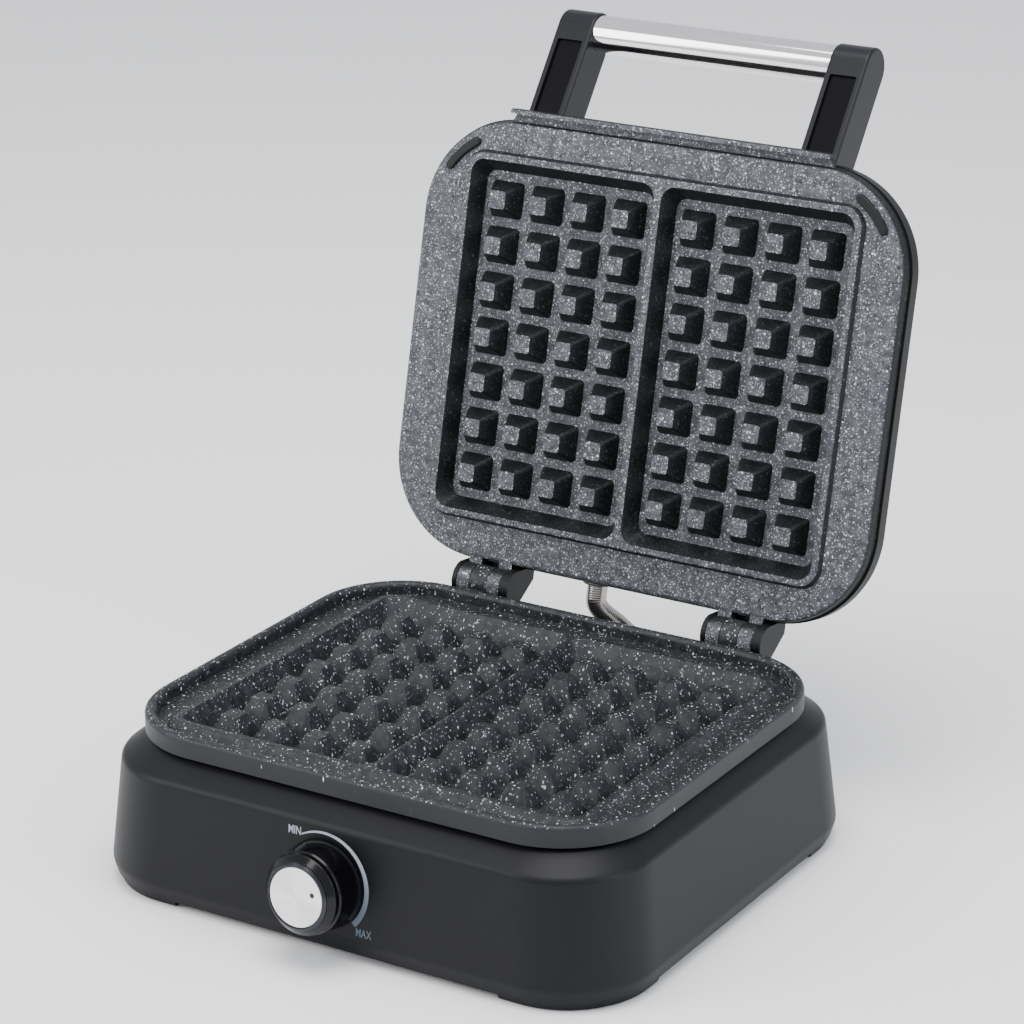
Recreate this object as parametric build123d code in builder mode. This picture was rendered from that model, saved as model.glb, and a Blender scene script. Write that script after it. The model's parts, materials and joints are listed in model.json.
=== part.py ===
"""Waffle maker, lid standing open on its rear hinges. Units: mm, X right, Y back, Z up."""

import os
from math import atan2, cos, degrees, radians, sin

from build123d import *

os.makedirs("parts", exist_ok=True)

# Stud pattern shared by both cooking plates
stud_pitch = 22.0
row_pitch = 21.6
stud_columns = 4
stud_rows = 7
stud_height = 9.5
stud_foot = 17.2
stud_crown = 8.4
cavity_x = 51.0
cavity_width = 99.0
cavity_length = 166.4
floor_width = 90.2
floor_length = 155.8

# Lower plate levels
rim_z = 76.0
lip_z = 73.4
stud_z = 72.2
gutter_z = 70.2
band_z = 66.8
lower_floor_z = stud_z - stud_height
lower_back_z = lower_floor_z - 3.4
plate_half_x = 124.7
plate_half_y = 104.7

# Base housing
shoulder_z = 57.5
skirt_z = 10.0
hem_z = 4.4
wall = 3.0
shoulder_half_x = 129.7
shoulder_half_y = 113.7
skirt_half_x = 134.2
skirt_half_y = 118.2
wall_tilt = degrees(atan2(skirt_half_y - shoulder_half_y, shoulder_z - skirt_z))

# Hinge line and the lid frame: x right, v away from the hinge, n out of the upper plate
hinge_y = 114.7
hinge_z = 76.0
hinge_x = 67.0
open_angle = 103.45
stud_gap = 2.6
knuckle_radius = 8.0
pin_radius = 2.5
running_gap = 0.05
lid_lean = 180.0 - open_angle
hinge_n = stud_z + stud_gap - hinge_z
v_dir = Vector(0, cos(radians(lid_lean)), sin(radians(lid_lean)))
n_dir = Vector(0, -sin(radians(lid_lean)), cos(radians(lid_lean)))
lid_origin = Vector(0, hinge_y, hinge_z) + v_dir * hinge_y - n_dir * hinge_n

# Upper plate and lid housing levels, measured along n
face_n = -3.0
upper_lip_n = -0.6
upper_floor_n = -stud_height
upper_band_n = -8.5
upper_back_n = upper_floor_n - 3.4
shell_edge_n = -8.9
shell_shoulder_n = -16.0
shell_top_n = -38.0
shell_wall = 2.6
upper_half_x = 125.3
upper_front_v = 101.5
upper_rear_v = -104.5

# Handle
arm_lean = 23.4
arm_x = 71.5
arm_width = 19.0
arm_depth = 20.0
arm_reach = 51.0
tube_radius = 9.0

# Dial
dial_x = -3.0
dial_z = 32.0
knob_length = 20.4
knob_seat = 17.0
knob_face = 20.1
knob_gap = 0.6
shaft_radius = 3.0

# Conduit between base and lid
conduit_radius = 4.9
conduit_lid_x = -16.0
conduit_lid_v = -105.8
conduit_lid_n = -17.5
conduit_base_x = 12.0
conduit_base_z = 46.0

# Cord inlet in the rear wall
gland_x = -70.0
gland_z = 26.0

# Fastener positions
plate_screw_spots = [(x, y) for x in (-92, 92) for y in (-73, 73)]
lid_screw_spots = [(x, v) for x in (-87, 87) for v in (-68, 60)]
foot_spots = [(x, y) for x in (-102, 102) for y in (-86, 86)]
corner_screw_spots = [(x, y) for x in (-112, 112) for y in (-95, 95)]
shield_screw_spots = [(x, y) for x in (-112, 112) for y in (-55, 55)]
shield_screw_spots += [(x, y) for x in (-60, 60) for y in (-95, 95)]
bracket_screw_spots = [(-16.5, 0), (16.5, 0)]
lamp_spots = [(-9, 48), (9, 48)]


def base_at(z):
    return Plane.XY.offset(z)


def lid_at(n):
    return Plane(origin=lid_origin + n_dir * n, x_dir=(1, 0, 0), z_dir=n_dir)


def lid_point(x, v, n):
    return Vector(x, 0, 0) + lid_origin + v_dir * v + n_dir * n


def lid_side(x):
    """Plane across the lid at x: local x runs along v, local y along n."""
    return Plane(origin=lid_origin + Vector(x, 0, 0), x_dir=v_dir, z_dir=(1, 0, 0))


def wall_y(z):
    return shoulder_half_y + (shoulder_z - z) * (skirt_half_y - shoulder_half_y) / (shoulder_z - skirt_z)


def rear_wall(x, z):
    """Plane on the outside of the rear wall, facing out."""
    lean = radians(wall_tilt)
    return Plane(origin=(x, wall_y(z), z), x_dir=(-1, 0, 0), z_dir=(0, cos(lean), sin(lean)))


dial_plane = Plane(
    origin=(dial_x, -wall_y(dial_z), dial_z),
    x_dir=(1, 0, 0),
    z_dir=(0, -cos(radians(wall_tilt)), sin(radians(wall_tilt))),
)
dial_axis = Axis(dial_plane.origin, dial_plane.z_dir)
pointer_spot = (8.0, 2.7)
base_outlet = rear_wall(conduit_base_x, conduit_base_z)
lid_outlet = Plane(
    origin=lid_point(conduit_lid_x, conduit_lid_v, conduit_lid_n),
    x_dir=(1, 0, 0),
    z_dir=v_dir * -1,
)
arm_dir = v_dir * cos(radians(arm_lean)) - n_dir * sin(radians(arm_lean))
arm_root = lid_point(0, 103.0, -12.0)


def arm_side(x):
    """Plane across a handle arm: local x runs up the arm, local y out of its open face."""
    return Plane(origin=arm_root + Vector(x, 0, 0), x_dir=arm_dir, z_dir=(1, 0, 0))


def arm_face(depth):
    """Plane parallel to the arm's open face: local x is X, local y runs up the arm."""
    side = arm_side(0)
    return Plane(origin=arm_root - side.y_dir * depth, x_dir=(1, 0, 0), z_dir=side.y_dir)


def lid_spots(spots, n):
    """Places on the lid at depth n, each with its Z axis along n."""
    return [Plane(origin=lid_point(x, v, n), x_dir=(1, 0, 0), z_dir=n_dir).location for x, v in spots]


def pan_screw(shank_radius, length, head_radius, head_height=2.0):
    """Cross-head screw with its shank along +Z and its head just below the origin."""
    with BuildPart() as screw:
        with BuildSketch(Plane.XY):
            Circle(shank_radius)
        extrude(amount=length)
        with BuildSketch(Plane.XY):
            Circle(head_radius)
        extrude(amount=-head_height)
        with BuildSketch(Plane.XY.offset(-head_height)):
            Rectangle(1.1 * head_radius, 0.25 * head_radius)
            Rectangle(0.25 * head_radius, 1.1 * head_radius)
        extrude(amount=head_height / 2, mode=Mode.SUBTRACT)
    return screw.part


# One waffle stud: a square pyramid with its point cut off and its corners eased
with BuildPart() as stud:
    with BuildSketch(Plane.XY):
        RectangleRounded(stud_foot, stud_foot, 2.0)
    with BuildSketch(Plane.XY.offset(stud_height)):
        RectangleRounded(stud_crown, stud_crown, 1.2)
    loft()

stud_spots = [
    (side * cavity_x + place.position.X, place.position.Y)
    for side in (-1, 1)
    for place in GridLocations(stud_pitch, row_pitch, stud_columns, stud_rows)
]

# ---------------------------------------------------------------- lower plate
lip_rise = lip_z - stud_z
lip_growth_x = lip_rise * (cavity_width - floor_width) / stud_height
lip_growth_y = lip_rise * (cavity_length - floor_length) / stud_height

with BuildPart() as lower_plate:
    with BuildSketch(base_at(band_z)):
        RectangleRounded(2 * plate_half_x, 2 * plate_half_y, 44)
    extrude(amount=rim_z - band_z)
    with BuildSketch(base_at(gutter_z)):
        RectangleRounded(2 * plate_half_x - 10, 2 * plate_half_y - 10, 39)
    extrude(amount=rim_z - gutter_z, mode=Mode.SUBTRACT)
    rim_edges = lower_plate.faces().sort_by(Axis.Z)[-1].edges()
    fillet(rim_edges, radius=2.2)
    with BuildSketch(base_at(gutter_z)):
        RectangleRounded(2 * 107.6, 2 * 90.6, 13)
    with BuildSketch(base_at(lip_z)):
        RectangleRounded(2 * 103.9, 2 * 86.9, 9.5)
    loft()
    lip_edges = lower_plate.faces().filter_by_position(Axis.Z, lip_z - 0.01, lip_z + 0.01).edges()
    fillet(lip_edges, radius=1.4)
    with BuildSketch(base_at(lower_back_z)):
        RectangleRounded(2 * 103.5, 2 * 86.5, 9)
    extrude(amount=gutter_z - lower_back_z)
    for side in (-1, 1):
        with BuildSketch(base_at(lower_floor_z)):
            with Locations((side * cavity_x, 0)):
                RectangleRounded(floor_width, floor_length, 5)
        with BuildSketch(base_at(lip_z)):
            with Locations((side * cavity_x, 0)):
                RectangleRounded(cavity_width + lip_growth_x, cavity_length + lip_growth_y, 7)
        loft(mode=Mode.SUBTRACT)
    brim = lower_plate.faces().filter_by_position(Axis.Z, lip_z - 0.01, lip_z + 0.01)
    fillet(brim.edges().filter_by_position(Axis.Z, lip_z - 0.01, lip_z + 0.01).filter_by(
        lambda e: abs(e.center().X) < 100.6 and abs(e.center().Y) < 84.1), radius=0.7)
    with BuildSketch(base_at(lower_back_z)):
        with Locations(*plate_screw_spots):
            Circle(4.5)
    extrude(amount=-8.0)
    with BuildSketch(base_at(lower_back_z - 8.0)):
        with Locations(*plate_screw_spots):
            Circle(1.75)
    extrude(amount=9.0, mode=Mode.SUBTRACT)
    for side in (-1, 1):
        with BuildSketch(Plane.YZ.offset(side * hinge_x)):
            with Locations((hinge_y, hinge_z)):
                Circle(knuckle_radius)
            with Locations(((plate_half_y - 3.2 + hinge_y) / 2, hinge_z - 4.6)):
                Rectangle(hinge_y - plate_half_y + 3.2, 6.8)
        extrude(amount=4.5, both=True)
        with BuildSketch(Plane.YZ.offset(side * hinge_x)):
            with Locations((hinge_y, hinge_z)):
                Circle(pin_radius + running_gap)
        extrude(amount=8, both=True, mode=Mode.SUBTRACT)
    with Locations(*[(x, y, lower_floor_z) for x, y in stud_spots]):
        add(stud.part)
lower_plate.part.label = "lower_plate"
export_step(lower_plate.part, "parts/lower_plate.step")

# ---------------------------------------------------------------- upper plate
upper_mid_v = (upper_front_v + upper_rear_v) / 2
upper_length = upper_front_v - upper_rear_v
upper_lip_drop = -upper_lip_n
upper_mouth_width = cavity_width - upper_lip_drop * (cavity_width - floor_width) / stud_height
upper_mouth_length = cavity_length - upper_lip_drop * (cavity_length - floor_length) / stud_height
bumper_arcs = [CenterArc((side * 79.3, 55.5), 40.4, 77 - side * 44, 26) for side in (-1, 1)]

with BuildPart() as upper_plate:
    with BuildSketch(lid_at(upper_band_n)):
        with Locations((0, upper_mid_v)):
            RectangleRounded(2 * upper_half_x + 1.6, upper_length + 1.6, 46.8)
    with BuildSketch(lid_at(face_n)):
        with Locations((0, upper_mid_v)):
            RectangleRounded(2 * upper_half_x, upper_length, 46)
    loft()
    face_edges = upper_plate.faces().sort_by(Axis(lid_origin, n_dir))[-1].edges()
    fillet(face_edges, radius=2.4)
    with BuildSketch(lid_at(face_n)):
        RectangleRounded(2 * 104.6, 2 * 87.2, 11)
    with BuildSketch(lid_at(upper_lip_n)):
        RectangleRounded(2 * 103.2, 2 * 85.8, 9.6)
    loft()
    upper_lip_edges = upper_plate.faces().sort_by(Axis(lid_origin, n_dir))[-1].edges()
    fillet(upper_lip_edges, radius=1.0)
    with BuildSketch(lid_at(upper_back_n)):
        RectangleRounded(2 * 103.5, 2 * 86.5, 9)
    extrude(amount=upper_band_n - upper_back_n)
    with BuildSketch(lid_at(upper_band_n)):
        with Locations((0, (upper_front_v + 107.8) / 2 - 2)):
            Trapezoid(172, 107.8 - upper_front_v + 4, 62, 62)
    extrude(amount=3.0)
    with BuildSketch(lid_at(upper_band_n)):
        with Locations((0, 106.6)):
            Rectangle(166, 2.4)
    extrude(amount=-1.6 - upper_band_n)
    bead = upper_plate.edges().filter_by(Axis.X).sort_by(lambda e: (e.center() - lid_origin).dot(v_dir))[-4:]
    bead_top = [e for e in bead if (e.center() - lid_origin).dot(n_dir) > -2]
    fillet(bead_top, radius=1.1)
    for side in (-1, 1):
        with BuildSketch(lid_at(upper_floor_n)):
            with Locations((side * cavity_x, 0)):
                RectangleRounded(floor_width, floor_length, 5)
        with BuildSketch(lid_at(upper_lip_n)):
            with Locations((side * cavity_x, 0)):
                RectangleRounded(upper_mouth_width, upper_mouth_length, 7)
        loft(mode=Mode.SUBTRACT)
    with BuildSketch(lid_at(upper_back_n)):
        with Locations(*lid_screw_spots):
            Circle(4.5)
    extrude(amount=-6.0)
    with BuildSketch(lid_at(upper_back_n - 6.0)):
        with Locations(*lid_screw_spots):
            Circle(1.75)
    extrude(amount=7.0, mode=Mode.SUBTRACT)
    for side in (-1, 1):
        for offset in (-8.2, 8.2):
            with BuildSketch(lid_side(side * hinge_x + offset)):
                with Locations((-hinge_y, hinge_n)):
                    Circle(knuckle_radius)
                with Locations(((upper_rear_v + 1.5 - hinge_y) / 2, -5.85)):
                    Rectangle(hinge_y + upper_rear_v + 1.5, 5.1)
            extrude(amount=3.4, both=True)
        with BuildSketch(lid_side(side * hinge_x)):
            with Locations((-hinge_y, hinge_n)):
                Circle(pin_radius + running_gap)
        extrude(amount=14, both=True, mode=Mode.SUBTRACT)
    with BuildSketch(lid_at(face_n)):
        for arc in bumper_arcs:
            SlotArc(arc, 4.2)
    extrude(amount=-1.0, mode=Mode.SUBTRACT)
    with Locations(*lid_spots(stud_spots, upper_floor_n)):
        add(stud.part)
upper_plate.part.label = "upper_plate"
export_step(upper_plate.part, "parts/upper_plate.step")

with BuildPart() as plate_bumpers:
    with BuildSketch(lid_at(face_n - 1.0)):
        for arc in bumper_arcs:
            SlotArc(arc, 4.2)
    extrude(amount=2.5)
    pad_tops = plate_bumpers.faces().filter_by(Plane(origin=(0, 0, 0), z_dir=n_dir)).sort_by(Axis(lid_origin, n_dir))
    fillet(pad_tops[-2:].edges(), radius=0.9)
plate_bumpers.part.label = "plate_bumpers"
export_step(plate_bumpers.part, "parts/plate_bumpers.step")

# ---------------------------------------------------------------- base housing
with BuildPart() as base_housing:
    with BuildSketch(base_at(hem_z)):
        RectangleRounded(2 * skirt_half_x - 3.0, 2 * skirt_half_y - 3.0, 41)
    with BuildSketch(base_at(skirt_z)):
        RectangleRounded(2 * skirt_half_x, 2 * skirt_half_y, 42)
    loft()
    with BuildSketch(base_at(skirt_z)):
        RectangleRounded(2 * skirt_half_x, 2 * skirt_half_y, 42)
    with BuildSketch(base_at(shoulder_z)):
        RectangleRounded(2 * shoulder_half_x, 2 * shoulder_half_y, 41)
    loft()
    with BuildSketch(base_at(shoulder_z)):
        RectangleRounded(2 * shoulder_half_x, 2 * shoulder_half_y, 41)
    with BuildSketch(base_at(shoulder_z + 7.7)):
        RectangleRounded(2 * 120.5, 2 * 101.5, 34)
    loft()
    shoulder_edges = base_housing.edges().filter_by_position(Axis.Z, shoulder_z - 0.01, shoulder_z + 0.01)
    fillet(shoulder_edges, radius=4.0)
    skirt_edges = base_housing.edges().filter_by_position(Axis.Z, skirt_z - 0.01, skirt_z + 0.01)
    fillet(skirt_edges, radius=5.0)
    with BuildSketch(base_at(hem_z)):
        RectangleRounded(2 * skirt_half_x - 11.0, 2 * skirt_half_y - 11.0, 37)
    with BuildSketch(base_at(skirt_z)):
        RectangleRounded(2 * (skirt_half_x - wall), 2 * (skirt_half_y - wall), 39)
    loft(mode=Mode.SUBTRACT)
    with BuildSketch(base_at(skirt_z)):
        RectangleRounded(2 * (skirt_half_x - wall), 2 * (skirt_half_y - wall), 39)
    with BuildSketch(base_at(shoulder_z - 1.4)):
        RectangleRounded(2 * (shoulder_half_x - wall), 2 * (shoulder_half_y - wall), 38)
    loft(mode=Mode.SUBTRACT)
    with BuildSketch(base_at(shoulder_z - 1.4)):
        RectangleRounded(2 * (shoulder_half_x - wall), 2 * (shoulder_half_y - wall), 38)
    with BuildSketch(base_at(shoulder_z + 4.8)):
        RectangleRounded(2 * 119.5, 2 * 100.5, 33)
    loft(mode=Mode.SUBTRACT)
    with BuildSketch(base_at(shoulder_z)):
        RectangleRounded(2 * 105.2, 2 * 88.2, 10)
    extrude(amount=12, mode=Mode.SUBTRACT)
    with BuildSketch(base_at(57.0)):
        with Locations(*shield_screw_spots):
            Circle(4.2)
    extrude(amount=6.0)
    with BuildSketch(base_at(57.0)):
        with Locations(*shield_screw_spots):
            Circle(1.55)
    extrude(amount=4.0, mode=Mode.SUBTRACT)
    with BuildSketch(base_at(8.2)):
        with Locations(*corner_screw_spots):
            Circle(4.5)
    extrude(amount=51.0)
    with BuildSketch(base_at(8.2)):
        with Locations(*corner_screw_spots):
            Circle(1.75)
    extrude(amount=16.0, mode=Mode.SUBTRACT)
    with BuildSketch(dial_plane):
        Circle(5.4)
    extrude(amount=8, both=True, mode=Mode.SUBTRACT)
    with BuildSketch(dial_plane.offset(-2.5)):
        with Locations(*bracket_screw_spots):
            Circle(3.6)
    extrude(amount=-4.4)
    with BuildSketch(dial_plane.offset(-6.9)):
        with Locations(*bracket_screw_spots):
            Circle(1.3)
    extrude(amount=4.4, mode=Mode.SUBTRACT)
    with BuildSketch(base_outlet):
        Circle(6.1)
    extrude(amount=8, both=True, mode=Mode.SUBTRACT)
    with BuildSketch(rear_wall(gland_x, gland_z)):
        Circle(6.6)
    extrude(amount=8, both=True, mode=Mode.SUBTRACT)
base_housing.part.label = "base_housing"
export_step(base_housing.part, "parts/base_housing.step")

with BuildPart() as base_bottom_cover:
    with BuildSketch(base_at(0.6)):
        RectangleRounded(2 * 130.6, 2 * 114.6, 38.6)
    with BuildSketch(base_at(2.6)):
        RectangleRounded(2 * 131.4, 2 * 115.4, 39.4)
    loft()
    with BuildSketch(base_at(0.6)):
        Rectangle(164, 300)
        Rectangle(300, 136)
    extrude(amount=2.0, mode=Mode.SUBTRACT)
    with BuildSketch(base_at(2.6)):
        RectangleRounded(2 * 131.4, 2 * 115.4, 39.4)
    with BuildSketch(base_at(hem_z)):
        RectangleRounded(2 * 132.2, 2 * 116.2, 40.2)
    loft()
    with BuildSketch(base_at(hem_z)):
        RectangleRounded(2 * 127.6, 2 * 111.6, 36)
    extrude(amount=3.8)
    with BuildSketch(base_at(5.0)):
        RectangleRounded(2 * 124.6, 2 * 108.6, 33)
    extrude(amount=10, mode=Mode.SUBTRACT)
    with BuildSketch(base_at(5.0)):
        with Locations(*corner_screw_spots):
            Circle(4.5)
    extrude(amount=3.0)
    with BuildSketch(base_at(0)):
        with Locations(*foot_spots):
            Circle(8.2)
    extrude(amount=3.0, mode=Mode.SUBTRACT)
    with BuildSketch(base_at(0)):
        with Locations(*corner_screw_spots):
            Circle(2.3)
    extrude(amount=12, mode=Mode.SUBTRACT)
    with BuildSketch(base_at(0)):
        with Locations(*corner_screw_spots):
            Circle(4.2)
    extrude(amount=3.4, mode=Mode.SUBTRACT)
    with BuildSketch(base_at(2.0)):
        with GridLocations(14, 14, 6, 1):
            SlotCenterToCenter(56, 4, rotation=90)
    extrude(amount=5, mode=Mode.SUBTRACT)
base_bottom_cover.part.label = "base_bottom_cover"
export_step(base_bottom_cover.part, "parts/base_bottom_cover.step")

with BuildPart() as foot_pads:
    with BuildSketch(base_at(0)):
        with Locations(*foot_spots):
            Circle(8.0)
    extrude(amount=3.0)
    fillet(foot_pads.faces().sort_by(Axis.Z)[:4].edges(), radius=0.5)
foot_pads.part.label = "foot_pads"
export_step(foot_pads.part, "parts/foot_pads.step")

cover_screw = pan_screw(1.7, 16.0, 3.8)
with BuildPart() as bottom_screws:
    with Locations(*[(x, y, 3.4) for x, y in corner_screw_spots]):
        add(cover_screw)
bottom_screws.part.label = "bottom_screws"
export_step(bottom_screws.part, "parts/bottom_screws.step")

# ---------------------------------------------------------------- lid housing and handle
slope_axis = (v_dir * 22.9 - n_dir * 24.1).normalized()
slope_root = lid_point(0, 94.6, -21.6)
handle_screw_xs = [side * arm_x + step for side in (-1, 1) for step in (-4.5, 4.5)]


def front_slope(x, depth):
    """Plane square to the lid's sloping front wall at x, moved out along its normal."""
    return Plane(origin=slope_root + Vector(x, 0, 0) + slope_axis * depth, z_dir=slope_axis)


with BuildPart() as lid_envelope:
    with BuildSketch(lid_at(shell_shoulder_n)):
        with Locations((0, -1.6)):
            RectangleRounded(2 * 127.2, 208.4, 47)
    extrude(amount=shell_edge_n - shell_shoulder_n)
    with BuildSketch(lid_at(shell_shoulder_n)):
        with Locations((0, -1.6)):
            RectangleRounded(2 * 127.2, 208.4, 47)
    with BuildSketch(lid_at(shell_top_n)):
        with Locations((0, -3)):
            RectangleRounded(2 * 104, 162, 34)
    loft()
    crown = lid_envelope.faces().sort_by(Axis(lid_origin, n_dir))[0].edges()
    fillet(crown, radius=9)
    brow = [e for e in lid_envelope.edges() if abs((e.center() - lid_origin).dot(n_dir) - shell_shoulder_n) < 0.02]
    fillet(brow, radius=3)

with BuildPart() as lid_housing:
    add(lid_envelope.part)
    with BuildSketch(lid_at(shell_shoulder_n + 1.0)):
        with Locations((0, -1.6)):
            RectangleRounded(2 * (127.2 - shell_wall), 208.4 - 2 * shell_wall, 44.4)
    extrude(amount=20, mode=Mode.SUBTRACT)
    with BuildSketch(lid_at(shell_shoulder_n + 1.0)):
        with Locations((0, -1.6)):
            RectangleRounded(2 * (127.2 - shell_wall), 208.4 - 2 * shell_wall, 44.4)
    with BuildSketch(lid_at(shell_top_n + shell_wall)):
        with Locations((0, -3)):
            RectangleRounded(2 * 101.6, 157.2, 31)
    loft(mode=Mode.SUBTRACT)
    for side in (-1, 1):
        for offset, thick in ((-13.0, 2.2), (14.3, 4.8)):
            with BuildSketch(lid_side(side * hinge_x + offset)):
                with Locations((-hinge_y, hinge_n)):
                    Circle(8.2)
                with Locations((-108.4, -12.9)):
                    Rectangle(5.6, 7.4)
                make_hull()
            extrude(amount=thick / 2, both=True)
        with BuildSketch(lid_side(side * hinge_x)):
            with Locations((-107.0, -12.6)):
                Rectangle(2.8, 6.8)
        extrude(amount=12.0, both=True)
    with BuildSketch(lid_at(shell_top_n + shell_wall)):
        with Locations(*lid_screw_spots):
            Circle(4.5)
    extrude(amount=upper_back_n - 6.0 - shell_top_n - shell_wall)
    with BuildSketch(lid_at(shell_top_n)):
        with Locations(*lid_screw_spots):
            Circle(2.1)
    extrude(amount=22, both=True, mode=Mode.SUBTRACT)
    with BuildSketch(lid_at(shell_top_n)):
        with Locations(*lid_screw_spots):
            Circle(3.6)
    extrude(amount=6.5, mode=Mode.SUBTRACT)
    for side in (-1, 1):
        with BuildSketch(lid_side(side * hinge_x)):
            with Locations((-hinge_y, hinge_n)):
                Circle(pin_radius + running_gap)
        extrude(amount=14.0, both=True, mode=Mode.SUBTRACT)
    with BuildSketch(lid_outlet):
        Circle(8.5)
    extrude(amount=-13.5)
    with BuildSketch(lid_outlet):
        Circle(6.1)
    extrude(amount=18, both=True, mode=Mode.SUBTRACT)
    with BuildSketch(lid_at(shell_top_n)):
        with Locations(*lamp_spots):
            Circle(3.1)
    extrude(amount=5, both=True, mode=Mode.SUBTRACT)
    for x in handle_screw_xs:
        with BuildSketch(front_slope(x, -8.0)):
            Circle(2.0)
        extrude(amount=16, mode=Mode.SUBTRACT)
lid_housing.part.label = "lid_housing"
export_step(lid_housing.part, "parts/lid_housing.step")

tube_centre = arm_root + arm_dir * arm_reach - arm_side(0).y_dir * (arm_depth / 2)
tube_plane = Plane(origin=tube_centre, x_dir=(0, 1, 0), z_dir=(1, 0, 0))
tube_half = arm_x - arm_width / 2 + 3.8

for side, hand in ((-1, "left"), (1, "right")):
    with BuildPart() as handle_arm:
        with BuildSketch(arm_side(side * arm_x)):
            with Locations(((arm_reach - 18) / 2, -arm_depth / 2)):
                Rectangle(arm_reach + 18, arm_depth)
            with Locations((arm_reach, -arm_depth / 2)):
                Circle(arm_depth / 2)
        extrude(amount=arm_width / 2, both=True)
        rims = [
            e for e in handle_arm.edges()
            if abs(abs(e.center().X - side * arm_x) - arm_width / 2) < 0.01
            and (e.center() - arm_root).dot(arm_dir) > -10
        ]
        fillet(rims, radius=1.2)
        with BuildSketch(arm_face(0)):
            with Locations((side * arm_x, 15.5)):
                RectangleRounded(13.4, 54.0, 1.0)
        extrude(amount=-6.0, mode=Mode.SUBTRACT)
        add(lid_envelope.part, mode=Mode.SUBTRACT)
        with BuildSketch(lid_at(shell_edge_n - 0.3)):
            with Locations((side * arm_x, 80)):
                Rectangle(60, 80)
        extrude(amount=30, mode=Mode.SUBTRACT)
        with BuildSketch(tube_plane.offset(side * (arm_x - arm_width / 2))):
            Circle(tube_radius + running_gap)
        extrude(amount=side * 4.0, mode=Mode.SUBTRACT)
        for step in (-4.5, 4.5):
            with BuildSketch(front_slope(side * arm_x + step, -2.0)):
                Circle(1.8)
            extrude(amount=13, mode=Mode.SUBTRACT)
    handle_arm.part.label = f"handle_arm_{hand}"
    export_step(handle_arm.part, f"parts/handle_arm_{hand}.step")

    with BuildPart() as arm_strip:
        with BuildSketch(arm_face(6.0)):
            with Locations((side * arm_x, 15.5)):
                RectangleRounded(13.2, 53.8, 0.9)
        extrude(amount=4.6)
        add(lid_envelope.part, mode=Mode.SUBTRACT)
        with BuildSketch(lid_at(shell_edge_n - 0.3)):
            with Locations((side * arm_x, 80)):
                Rectangle(60, 80)
        extrude(amount=30, mode=Mode.SUBTRACT)
    arm_strip.part.label = f"arm_strip_{hand}"
    export_step(arm_strip.part, f"parts/arm_strip_{hand}.step")

with BuildPart() as handle_tube:
    with BuildSketch(tube_plane):
        Circle(tube_radius)
        Circle(tube_radius - 1.2, mode=Mode.SUBTRACT)
    extrude(amount=tube_half, both=True)
handle_tube.part.label = "handle_tube"
export_step(handle_tube.part, "parts/handle_tube.step")

with BuildPart() as tube_plugs:
    for side in (-1, 1):
        with BuildSketch(tube_plane.offset(side * (tube_half - 14))):
            Circle(tube_radius - 1.25)
            Circle(4.0, mode=Mode.SUBTRACT)
        extrude(amount=side * 14)
tube_plugs.part.label = "tube_plugs"
export_step(tube_plugs.part, "parts/tube_plugs.step")

handle_screw = pan_screw(1.7, 13.5, 3.2)
with BuildPart() as handle_screws:
    with Locations(*[front_slope(x, -4.0).location for x in handle_screw_xs]):
        add(handle_screw)
handle_screws.part.label = "handle_screws"
export_step(handle_screws.part, "parts/handle_screws.step")

lid_screw = pan_screw(1.7, 18.0, 3.3)
with BuildPart() as lid_screws:
    with Locations(*lid_spots(lid_screw_spots, shell_top_n + 6.5)):
        add(lid_screw)
lid_screws.part.label = "lid_screws"
export_step(lid_screws.part, "parts/lid_screws.step")

# ---------------------------------------------------------------- hinge pins
with BuildPart() as hinge_pins:
    for side in (-1, 1):
        with BuildSketch(Plane.YZ.offset(side * hinge_x)):
            with Locations((hinge_y, hinge_z)):
                Circle(pin_radius)
        extrude(amount=13.6, both=True)
hinge_pins.part.label = "hinge_pins"
export_step(hinge_pins.part, "parts/hinge_pins.step")

# ---------------------------------------------------------------- dial
with BuildPart() as knob_body:
    with BuildSketch(Plane(origin=dial_plane.origin, x_dir=dial_plane.x_dir, z_dir=-dial_plane.y_dir)):
        with BuildLine():
            Polyline(
                (7.0, knob_gap), (19.8, knob_gap), (18.3, 13.4), (17.7, 14.2), (17.7, 16.6), (15.3, 19.2),
                (15.0, 19.2), (15.0, knob_seat), (3.02, knob_seat), (3.02, 1.6), (7.0, 1.6), (7.0, knob_gap),
            )
        make_face()
    revolve(axis=dial_axis)
    lip_ring = knob_body.edges().filter_by(GeomType.CIRCLE).sort_by(lambda e: abs(e.radius - 17.7))[:2]
    fillet(lip_ring, radius=0.6)
    with BuildSketch(dial_plane.offset(knob_gap)):
        Circle(16.4)
        Circle(7.0, mode=Mode.SUBTRACT)
    extrude(amount=12.0, mode=Mode.SUBTRACT)
knob_body.part.label = "knob_body"
export_step(knob_body.part, "parts/knob_body.step")

with BuildPart() as knob_ring:
    with BuildSketch(dial_plane.offset(knob_seat)):
        Circle(14.95)
        Circle(13.3, mode=Mode.SUBTRACT)
    extrude(amount=knob_length - knob_seat)
    outer_rim = knob_ring.edges().filter_by(GeomType.CIRCLE).sort_by(dial_axis)[-2:]
    chamfer(outer_rim.sort_by(lambda e: e.radius)[-1:], length=0.9)
knob_ring.part.label = "knob_ring"
export_step(knob_ring.part, "parts/knob_ring.step")

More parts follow.
